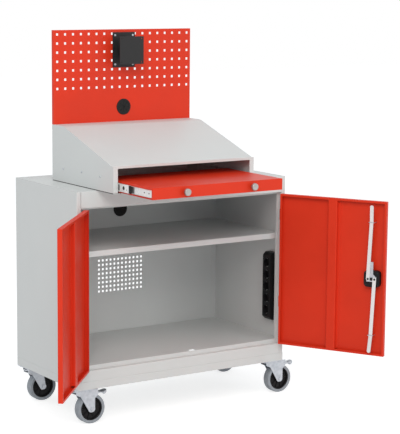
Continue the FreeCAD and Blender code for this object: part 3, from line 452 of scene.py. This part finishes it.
def castor_fittings():
    for name in CASTORS:
        axle_washers(name)
        if name.startswith("front"):
            toe_rim(name)
    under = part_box("castor_plates")[1][2] - BOLT_PLATE_T
    section = circle((GAP_SHADE_RING_R, 0.0), GAP_SHADE_RING_T, GAP_SHADE_RING_POINTS)
    nuts = bmesh.new()
    rings = bmesh.new()
    for name in CASTORS:
        king = joint_at("swivel_" + name)
        for dx in (-BOLT_SPREAD[0], BOLT_SPREAD[0]):
            for dy in (-BOLT_SPREAD[1], BOLT_SPREAD[1]):
                at = Vector((king.x + dx, king.y + dy, under))
                plate(nuts, hexagon(NUT_R), NUT_T, aligned(at, -Z_AXIS, X_AXIS))
        middle = Vector((king.x, king.y, under - RACE_T / 2))
        turn(rings, section, aligned(middle, Z_AXIS), GAP_SHADE_RING_FACETS, closed=True)
    piece("castor_nuts", nuts, "zinc_steel", "cabinet", NUT_EDGE)
    # Black race rings: a real ring, and partly painted shade in the slit under the bolt plates
    piece("race_rings_gap_shade", rings, "black_rubber", "cabinet")


# Screws: low domed head with a recess, in shares of its radius and rise
SCREW_SHAPE = ((1.0, 0.0), (1.0, 0.35), (0.86, 0.8), (0.55, 1.0), (0.5, 1.0), (0.44, 0.4), (0.0, 0.4))
SCREW_FACETS = 24


def screw_head(mesh, at, out, radius, rise):
    """Adds a screw head that stands on a surface along out."""
    turn(mesh, scaled(SCREW_SHAPE, radius, rise), aligned(at, out), SCREW_FACETS)


# Console: screws of the cheeks, given from the console's front and the carcass top, and black strips that paint
# the shade in the gap under the cheeks
CHEEK_SCREW_R = 4.2 * MM
CHEEK_SCREW_RISE = 2.0 * MM
CHEEK_SCREWS = ((415 * MM, 59 * MM), (257 * MM, 62 * MM), (105 * MM, 59 * MM))
# Black strips of painted shade in the gap under the cheeks
SHADE_STRIP_T = 1.2 * MM
SHADE_STRIP_END_T = 0.48 * MM
SHADE_STRIP_TAPER = 6 * MM


def cheek_screws():
    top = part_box("top_panel")[1][2]
    mesh = bmesh.new()
    for name, corner, out in (("console_cheek_left", 0, -X_AXIS), ("console_cheek_right", 1, X_AXIS)):
        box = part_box(name)
        for back, rise in CHEEK_SCREWS:
            at = Vector((box[corner][0], box[0][1] + back, top + rise))
            screw_head(mesh, at, out, CHEEK_SCREW_R, CHEEK_SCREW_RISE)
    piece("cheek_screws", mesh, "zinc_steel", "cabinet")


def console_painted_shade_strips():
    """Black strips in the gap between the cheeks and the carcass top, as painted shade for that gap."""
    low, high = corners(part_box("console_base"))
    joint_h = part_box("console_cheek_left")[0][2] - low.z
    half = (high.y - low.y) / 2
    strip = [
        (-half, 0.0),
        (half, 0.0),
        (half, SHADE_STRIP_END_T),
        (half - SHADE_STRIP_TAPER, SHADE_STRIP_T),
        (SHADE_STRIP_TAPER - half, SHADE_STRIP_T),
        (-half, SHADE_STRIP_END_T),
    ]
    middle = (low.y + high.y) / 2
    mesh = bmesh.new()
    for x, out in ((low.x, -1), (high.x, 1)):
        plate(mesh, strip, joint_h, aligned((x, middle, low.z), Z_AXIS, -out * Y_AXIS))
    # Painted shade: black strips that darken the gap under the console's cheeks
    piece("console_painted_shade_strips", mesh, "black_rubber", "cabinet")


# Drawer: turned knobs with a dished face
KNOB_STEM_R = 6 * MM
KNOB_HEAD_T = 13 * MM
KNOB_ROUND = 3 * MM
KNOB_ROUND_STEPS = 4
KNOB_DISH = 1.2 * MM
KNOB_DISH_SHARE = 0.6
KNOB_FACETS = 48


def knobs():
    low, high = corners(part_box("drawer_knobs"))
    radius = (high.z - low.z) / 2
    length = high.y - low.y
    neck = length - KNOB_HEAD_T
    corner_r = radius - KNOB_ROUND
    profile = [(KNOB_STEM_R, 0.0), (KNOB_STEM_R, neck)]
    profile += arc((corner_r, neck + KNOB_ROUND), KNOB_ROUND, -90, 0, KNOB_ROUND_STEPS)
    profile += arc((corner_r, length - KNOB_ROUND), KNOB_ROUND, 0, 90, KNOB_ROUND_STEPS)
    dished = (radius * KNOB_DISH_SHARE, length - KNOB_DISH * KNOB_DISH_SHARE)
    profile += [dished, (0.0, length - KNOB_DISH)]
    mesh = bmesh.new()
    for x in (low.x + radius, high.x - radius):
        place = aligned((x, high.y, (low.z + high.z) / 2), -Y_AXIS, X_AXIS)
        turn(mesh, profile, place, KNOB_FACETS)
    piece("knobs", mesh, "bright_steel", "drawer", stands_for=("drawer_knobs",), finish="satin_steel")


# Slides: end clips, black marks painted as the shade in the middle rail's holes and slot (from the rail's front:
# back, up, radius) and screws
CLIP_FRONT = 10 * MM
CLIP_BACK = 9 * MM
CLIP_H = 32 * MM
CLIP_OUT = 7.6 * MM
CLIP_T = 1.8 * MM
CLIP_EDGE = 0.5 * MM
CLIP_NOSE = 7 * MM
CLIP_NOSE_H = 21.76 * MM
# Black marks of painted shade where the middle rail has holes and a slot
SLIDE_HOLE_SHADES = ((24 * MM, -4 * MM, 2.2 * MM), (48 * MM, 1 * MM, 8 * MM), (150 * MM, 0.0, 8 * MM))
HOLE_SHADE_SHAPE = ((1.0, 0.0), (0.9, 1.0), (0.0, 2 / 3))
HOLE_SHADE_FACETS = 24
SLOT_BACK = 84 * MM
SLOT_SIZE = (9 * MM, 24 * MM)
SHADE_MARK_T = 0.15 * MM
MIDDLE_WEB = 9.4 * MM
INNER_WEB = 1.2 * MM
RAIL_SCREWS = (18 * MM, 52 * MM, 180 * MM)
RAIL_SCREW_R = 2.4 * MM
RAIL_SCREW_RISE = 1.6 * MM


def slide_fittings():
    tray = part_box("drawer_tray")
    rail_low, rail_high = corners(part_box("slide_middle_rails"))
    middle_front = rail_low.y
    inner_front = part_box("slide_inner_rails")[0][1]
    z = (rail_low.z + rail_high.z) / 2
    clip = [
        (-CLIP_FRONT, -CLIP_NOSE_H / 2),
        (-CLIP_NOSE, -CLIP_H / 2),
        (CLIP_BACK, -CLIP_H / 2),
        (CLIP_BACK, CLIP_H / 2),
        (-CLIP_NOSE, CLIP_H / 2),
        (-CLIP_FRONT, CLIP_NOSE_H / 2),
    ]
    clips, hole_shades, screws = bmesh.new(), bmesh.new(), bmesh.new()
    for x, out in ((tray[0][0], -X_AXIS), (tray[1][0], X_AXIS)):
        at = Vector((x, middle_front, z)) + out * CLIP_OUT
        plate(clips, clip, CLIP_T, aligned(at, out, Y_AXIS))
        for back, rise, radius in SLIDE_HOLE_SHADES:
            at = Vector((x, middle_front + back, z + rise)) + out * MIDDLE_WEB
            turn(hole_shades, scaled(HOLE_SHADE_SHAPE, radius, SHADE_MARK_T), aligned(at, out), HOLE_SHADE_FACETS)
        at = Vector((x, middle_front + SLOT_BACK, z)) + out * MIDDLE_WEB
        plate(hole_shades, rectangle(*SLOT_SIZE), SHADE_MARK_T, aligned(at, out, Y_AXIS))
        for back in RAIL_SCREWS:
            at = Vector((x, inner_front + back, z)) + out * INNER_WEB
            screw_head(screws, at, out, RAIL_SCREW_R, RAIL_SCREW_RISE)
    piece("slide_clips", clips, "black_plastic", "slide_middle", CLIP_EDGE)
    # Black discs and a black slot: painted shade for the holes of the middle rail
    piece("slide_hole_shades", hole_shades, "black_rubber", "slide_middle")
    piece("rail_screws", screws, "black_paint", "drawer")


# Sockets: lip round each well, collars of the two pin holes and two earth springs
SOCKET_COUNT = 5
SOCKET_PITCH = 53 * MM
SOCKET_R = 19.5 * MM
SOCKET_DEPTH = 17.5 * MM
SOCKET_LIP_R = 1.2 * MM
SOCKET_LIP_POINTS = 12
SOCKET_FACETS = 48
PIN_SPREAD = 9.5 * MM
PIN_COLLAR_R = 3.6 * MM
PIN_COLLAR_T = 1.0 * MM
PIN_COLLAR_FACETS = 20
PIN_HOLE_R = 2.4 * MM
SPRING_W = 5 * MM
SPRING_T = 1.6 * MM
SPRING_L = 14.5 * MM
SPRING_IN = 2 * MM
SPRING_EDGE = 0.4 * MM


def socket_fittings():
    low, high = corners(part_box("socket_strip"))
    middle = (low + high) / 2
    lip = circle((SOCKET_R + SOCKET_LIP_R, 0.0), SOCKET_LIP_R, SOCKET_LIP_POINTS)
    collar = [
        (PIN_HOLE_R, 0.0),
        (PIN_COLLAR_R, 0.0),
        (PIN_COLLAR_R, PIN_COLLAR_T),
        (PIN_HOLE_R, PIN_COLLAR_T),
    ]
    springs, collars = bmesh.new(), bmesh.new()
    for i in range(SOCKET_COUNT):
        z = middle.z + (i - (SOCKET_COUNT - 1) / 2) * SOCKET_PITCH
        mouth = aligned((low.x, middle.y, z), X_AXIS, Y_AXIS)
        turn(collars, lip, mouth, SOCKET_FACETS, closed=True)
        for side in (-1, 1):
            hole = mouth @ Matrix.Translation((side * PIN_SPREAD, 0, SOCKET_DEPTH - PIN_COLLAR_T))
            turn(collars, collar, hole, PIN_COLLAR_FACETS, closed=True)
            spring = rectangle(SPRING_W, SPRING_T, (0.0, side * (SOCKET_R - SPRING_T)))
            plate(springs, spring, SPRING_L, mouth @ Matrix.Translation((0, 0, SPRING_IN)))
    piece("earth_springs", springs, "bright_steel", "cabinet", SPRING_EDGE)
    piece("socket_collars", collars, "black_plastic", "cabinet")


# Doors: places are given on the closed right door and swung open with it
DOOR_FREE_X = 2 * MM
DOOR_HINGE_X = 496 * MM
DOOR_FLANGE_Y = -267 * MM
STIFFENER_HALF = 21 * MM
FLANGE_MIDDLE = 6 * MM
WELD_R = 3.2 * MM
WELD_RISE = 0.35 * MM
WELD_SHAPE = ((1.0, 0.0), (0.8, 1.0), (0.45, 0.3), (0.0, 0.2))
WELD_FACETS = 16
WELD_STEP = 62 * MM


def door_place(side):
    """Matrix from the closed right door, mirrored for the left, to where the door stands at rest."""
    joint = joints["right_door_hinge" if side > 0 else "left_door_hinge"]
    hinge = Vector(joint["pos_m"])
    angle = -math.radians(joint["range_deg"][0]) * side
    swing = Matrix.Translation(hinge) @ Matrix.Rotation(angle, 4, "Z") @ Matrix.Translation(-hinge)
    return swing @ Matrix.Diagonal((side, 1, 1, 1))


def spot_welds(side, word):
    """Row of weld marks on each flange of the hat stiffener."""
    place = door_place(side)
    low, high = corners(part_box("door_stiffener_" + word))
    count = int((high.z - low.z) / WELD_STEP)
    middle = (DOOR_FREE_X + DOOR_HINGE_X) / 2
    mark = scaled(WELD_SHAPE, WELD_R, WELD_RISE)
    mesh = bmesh.new()
    for edge in (-1, 1):
        for i in range(count):
            z = (low.z + high.z) / 2 + (i - (count - 1) / 2) * WELD_STEP
            at = Vector((middle + edge * (STIFFENER_HALF + FLANGE_MIDDLE), DOOR_FLANGE_Y, z))
            turn(mesh, mark, place @ aligned(at, Y_AXIS, X_AXIS), WELD_FACETS)
    piece("spot_welds_" + word, mesh, "red_paint", word + "_door")


# Lock: rivet heads on the cam's pins, its centre bolt and flush screws in the housing
RIVET_R = 4.8 * MM
RIVET_RISE = 1.8 * MM
RIVET_SINK = 0.4 * MM
RIVET_CROWN = ((0.8, 0.6), (0.4, 1.0), (0.0, 1.0))
RIVET_FACETS = 32
RIVET_EDGE = 0.3 * MM
ROD_TOP = 3 * MM
PIN_PROUD = 1.6 * MM
CENTRE_BOLT_R = 7.5 * MM
CENTRE_BOLT_RISE = 3.2 * MM
CAM_T = 3 * MM
HOUSING_SCREW_OUT = 26 * MM
HOUSING_SCREW_R = 3.4 * MM
HOUSING_SCREW_RISE = 0.3 * MM
HOUSING_BELOW_CAM = 0.5 * MM


def lock_fittings():
    inward = -Vector(joints["lock_turn"]["axis"])
    across = inward.cross(Z_AXIS)
    centre = joint_at("lock_turn")
    rivet = [(0.0, -PIN_PROUD), (RIVET_R, -PIN_PROUD), (RIVET_R, -RIVET_SINK)]
    rivet += scaled(RIVET_CROWN, RIVET_R, RIVET_RISE)
    rivets = bmesh.new()
    for name in ("upper_rod_pivot", "lower_rod_pivot"):
        at = joint_at(name) + inward * (ROD_TOP + PIN_PROUD)
        turn(rivets, rivet, aligned(at, inward), RIVET_FACETS)
    bolt = aligned(centre + inward * CAM_T, inward, across)
    plate(rivets, hexagon(CENTRE_BOLT_R), CENTRE_BOLT_RISE, bolt)
    piece("cam_rivets", rivets, "black_paint", "lock", RIVET_EDGE)
    screws = bmesh.new()
    for dx in (-HOUSING_SCREW_OUT, HOUSING_SCREW_OUT):
        for dz in (-HOUSING_SCREW_OUT, HOUSING_SCREW_OUT):
            at = centre - inward * HOUSING_BELOW_CAM + across * dx + Z_AXIS * dz
            screw_head(screws, at, inward, HOUSING_SCREW_R, HOUSING_SCREW_RISE)
    piece("housing_screws", screws, "black_paint", "right_door")


# Cable grommets: rounded rubber rim, flaps that part for a cable and a thin membrane behind them
GROMMET_HOLE_R = 30 * MM
GROMMET_PLAY = 0.15 * MM
GROMMET_RIM = 4.5 * MM
GROMMET_RIM_T = 3 * MM
GROMMET_EDGE_T = 1.35 * MM
GROMMET_PLUG = 4 * MM
GROMMET_FACETS = 56
OUTER_ROUND = 1.4 * MM
OUTER_ARC = (20, 90)
INNER_ROUND = 1.6 * MM
INNER_ARC = (90, 180)
ROUND_STEPS = 3
FLAP_COUNT = 8
FLAP_T = 1.6 * MM
FLAP_GAP_ANGLE = 1.6
FLAP_TIP_R = 2.2 * MM
FLAP_STEPS = 4
FLAP_LAP = 1.01
MEMBRANE_T = 0.8 * MM
PANEL_GROMMET_RISE = 63 * MM
BACK_GROMMET_RISE = 555 * MM


def grommet(mesh, at):
    place = aligned(at, -Y_AXIS, X_AXIS)
    outer = GROMMET_HOLE_R + GROMMET_RIM
    inner = GROMMET_HOLE_R - GROMMET_RIM
    wall = GROMMET_HOLE_R - GROMMET_PLAY
    outer_centre = (outer - OUTER_ROUND, GROMMET_RIM_T - OUTER_ROUND)
    inner_centre = (inner + INNER_ROUND, GROMMET_RIM_T - INNER_ROUND)
    section = [(wall, -GROMMET_PLUG), (wall, 0.0), (outer, 0.0), (outer, GROMMET_EDGE_T)]
    section += arc(outer_centre, OUTER_ROUND, *OUTER_ARC, ROUND_STEPS)
    section += arc(inner_centre, INNER_ROUND, *INNER_ARC, ROUND_STEPS)
    section += [(inner, -GROMMET_PLUG)]
    turn(mesh, section, place, GROMMET_FACETS, closed=True)
    root = inner * FLAP_LAP
    span = 360 / FLAP_COUNT
    for i in range(FLAP_COUNT):
        start = span * i + FLAP_GAP_ANGLE
        end = span * (i + 1) - FLAP_GAP_ANGLE
        tip = polar(FLAP_TIP_R, (start + end) / 2)
        plate(mesh, [tip] + arc((0.0, 0.0), root, start, end, FLAP_STEPS), FLAP_T, place)
    membrane = [(0.0, -MEMBRANE_T), (root, -MEMBRANE_T), (root, 0.0), (0.0, 0.0)]
    turn(mesh, membrane, place, GROMMET_FACETS)


def grommets():
    panel_low, panel_high = corners(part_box("perforated_panel"))
    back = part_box("back_panel")
    floor_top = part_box("floor_panel")[1][2]
    mesh = bmesh.new()
    panel_middle = (panel_low.x + panel_high.x) / 2
    grommet(mesh, Vector((panel_middle, panel_low.y, panel_low.z + PANEL_GROMMET_RISE)))
    grommet(mesh, Vector((0.0, back[0][1], floor_top + BACK_GROMMET_RISE)))
    piece("grommets", mesh, "black_rubber", "cabinet", stands_for=("cable_grommets",))


# Tilting bracket: cap screws of the wall plate and nuts on the cross pin
WALL_PLATE_T = 3 * MM
WALL_SCREW_OUT = (44 * MM, 62 * MM)
WALL_SCREW_R = 5 * MM
WALL_SCREW_RISE = 3 * MM
EAR_OUT = 18.8 * MM
PIN_NUT_R = 8 * MM
PIN_NUT_T = 5 * MM
PIN_WASHER_R = 9 * MM
PIN_WASHER_FACETS = 32


def bracket_fittings():
    low, high = corners(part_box("bracket_wall_plate"))
    centre = (low + high) / 2
    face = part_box("perforated_panel")[0][1] - WALL_PLATE_T
    screws = bmesh.new()
    for dx in (-WALL_SCREW_OUT[0], WALL_SCREW_OUT[0]):
        for dz in (-WALL_SCREW_OUT[1], WALL_SCREW_OUT[1]):
            at = Vector((centre.x + dx, face, centre.z + dz))
            screw_head(screws, at, -Y_AXIS, WALL_SCREW_R, WALL_SCREW_RISE)
    piece("wall_plate_screws", screws, "zinc_steel", "cabinet")
    washer = [(0.0, 0.0), (PIN_WASHER_R, 0.0), (PIN_WASHER_R, WASHER_T), (0.0, WASHER_T)]
    pin = joint_at("monitor_tilt")
    nuts = bmesh.new()
    for out in (-X_AXIS, X_AXIS):
        place = aligned(pin + out * EAR_OUT, out, Z_AXIS)
        turn(nuts, washer, place, PIN_WASHER_FACETS)
        plate(nuts, hexagon(PIN_NUT_R), PIN_NUT_T, place @ Matrix.Translation((0, 0, WASHER_T)))
    piece("tilt_nuts", nuts, "zinc_steel", "monitor_head", NUT_EDGE)


# Stage: white all round, a floor that is seen as white but gives light as a grey one, and two lamps
FLOOR_SIZE = 40.0
FLOOR_COLOUR = (0.8, 0.8, 0.8, 1.0)
SEEN_FLOOR_COLOUR = (0.5, 0.5, 0.5, 1.0)
SEEN_FLOOR_GLOW = 0.72
AMBIENT_COLOUR = (0.9, 0.96, 1.0, 1.0)
AMBIENT = 0.64
WHITE = (1.0, 1.0, 1.0, 1.0)
LAMP_COLOUR = (1.0, 0.955, 0.9)
KEY_AT = Vector((-4.4, -6.2, 6.4))
KEY_AIM = Vector((0.0, -0.2, 0.8))
KEY_SIZE = 6.0
KEY_WATTS = 408.0
FILL_AT = Vector((3.8, -7.4, 3.2))
FILL_AIM = Vector((0.2, -0.2, 0.7))
FILL_SIZE = 7.0
FILL_WATTS = 112.0


def seen_directly(tree):
    """Socket that is 1 for what is seen, also by reflection or through glass, and 0 for light."""
    path = tree.nodes.new("ShaderNodeLightPath")
    first = tree.nodes.new("ShaderNodeMath")
    second = tree.nodes.new("ShaderNodeMath")
    for node in (first, second):
        node.operation = "MAXIMUM"
    tree.links.new(path.outputs["Is Camera Ray"], first.inputs[0])
    tree.links.new(path.outputs["Is Glossy Ray"], first.inputs[1])
    tree.links.new(first.outputs[0], second.inputs[0])
    tree.links.new(path.outputs["Is Transmission Ray"], second.inputs[1])
    return second.outputs[0]


def make_floor():
    mesh = bpy.data.meshes.new("floor")
    mesh.from_pydata([(x, y, 0.0) for x, y in rectangle(FLOOR_SIZE, FLOOR_SIZE)], [], [(0, 1, 2, 3)])
    floor = bpy.data.objects.new("floor", mesh)
    scene.collection.objects.link(floor)
    material = bpy.data.materials.new("floor")
    material.use_nodes = True
    tree = material.node_tree
    tree.nodes.remove(tree.nodes["Principled BSDF"])
    plain = tree.nodes.new("ShaderNodeBsdfDiffuse")
    seen = tree.nodes.new("ShaderNodeBsdfDiffuse")
    glow = tree.nodes.new("ShaderNodeEmission")
    both = tree.nodes.new("ShaderNodeAddShader")
    choice = tree.nodes.new("ShaderNodeMixShader")
    plain.inputs["Color"].default_value = FLOOR_COLOUR
    seen.inputs["Color"].default_value = SEEN_FLOOR_COLOUR
    glow.inputs["Strength"].default_value = SEEN_FLOOR_GLOW
    tree.links.new(seen.outputs[0], both.inputs[0])
    tree.links.new(glow.outputs[0], both.inputs[1])
    tree.links.new(seen_directly(tree), choice.inputs["Fac"])
    tree.links.new(plain.outputs[0], choice.inputs[1])
    tree.links.new(both.outputs[0], choice.inputs[2])
    tree.links.new(choice.outputs[0], tree.nodes["Material Output"].inputs["Surface"])
    mesh.materials.append(material)


def make_world():
    world = bpy.data.worlds.new("studio")
    world.use_nodes = True
    scene.world = world
    tree = world.node_tree
    ambient = tree.nodes["Background"]
    ambient.inputs["Color"].default_value = AMBIENT_COLOUR
    ambient.inputs["Strength"].default_value = AMBIENT
    white = tree.nodes.new("ShaderNodeBackground")
    white.inputs["Color"].default_value = WHITE
    white.inputs["Strength"].default_value = 1.0
    choice = tree.nodes.new("ShaderNodeMixShader")
    tree.links.new(seen_directly(tree), choice.inputs["Fac"])
    tree.links.new(ambient.outputs[0], choice.inputs[1])
    tree.links.new(white.outputs[0], choice.inputs[2])
    tree.links.new(choice.outputs[0], tree.nodes["World Output"].inputs["Surface"])


def area_light(name, at, aim, size, watts):
    light = bpy.data.lights.new(name, "AREA")
    light.color = LAMP_COLOUR
    light.shape = "DISK"
    light.size = size
    light.energy = watts
    lamp = bpy.data.objects.new(name, light)
    scene.collection.objects.link(lamp)
    lamp.location = at
    lamp.rotation_mode = "QUATERNION"
    lamp.rotation_quaternion = (aim - at).to_track_quat("-Z", "Y")


def make_stage():
    make_floor()
    make_world()
    area_light("key", KEY_AT, KEY_AIM, KEY_SIZE, KEY_WATTS)
    area_light("fill", FILL_AT, FILL_AIM, FILL_SIZE, FILL_WATTS)
    scene.view_settings.view_transform = "Standard"


make_camera()
dress_nodes()
for castor in CASTORS:
    wheel(castor)
castor_fittings()
cheek_screws()
console_painted_shade_strips()
knobs()
slide_fittings()
socket_fittings()
spot_welds(1, "right")
spot_welds(-1, "left")
lock_fittings()
grommets()
bracket_fittings()
make_stage()
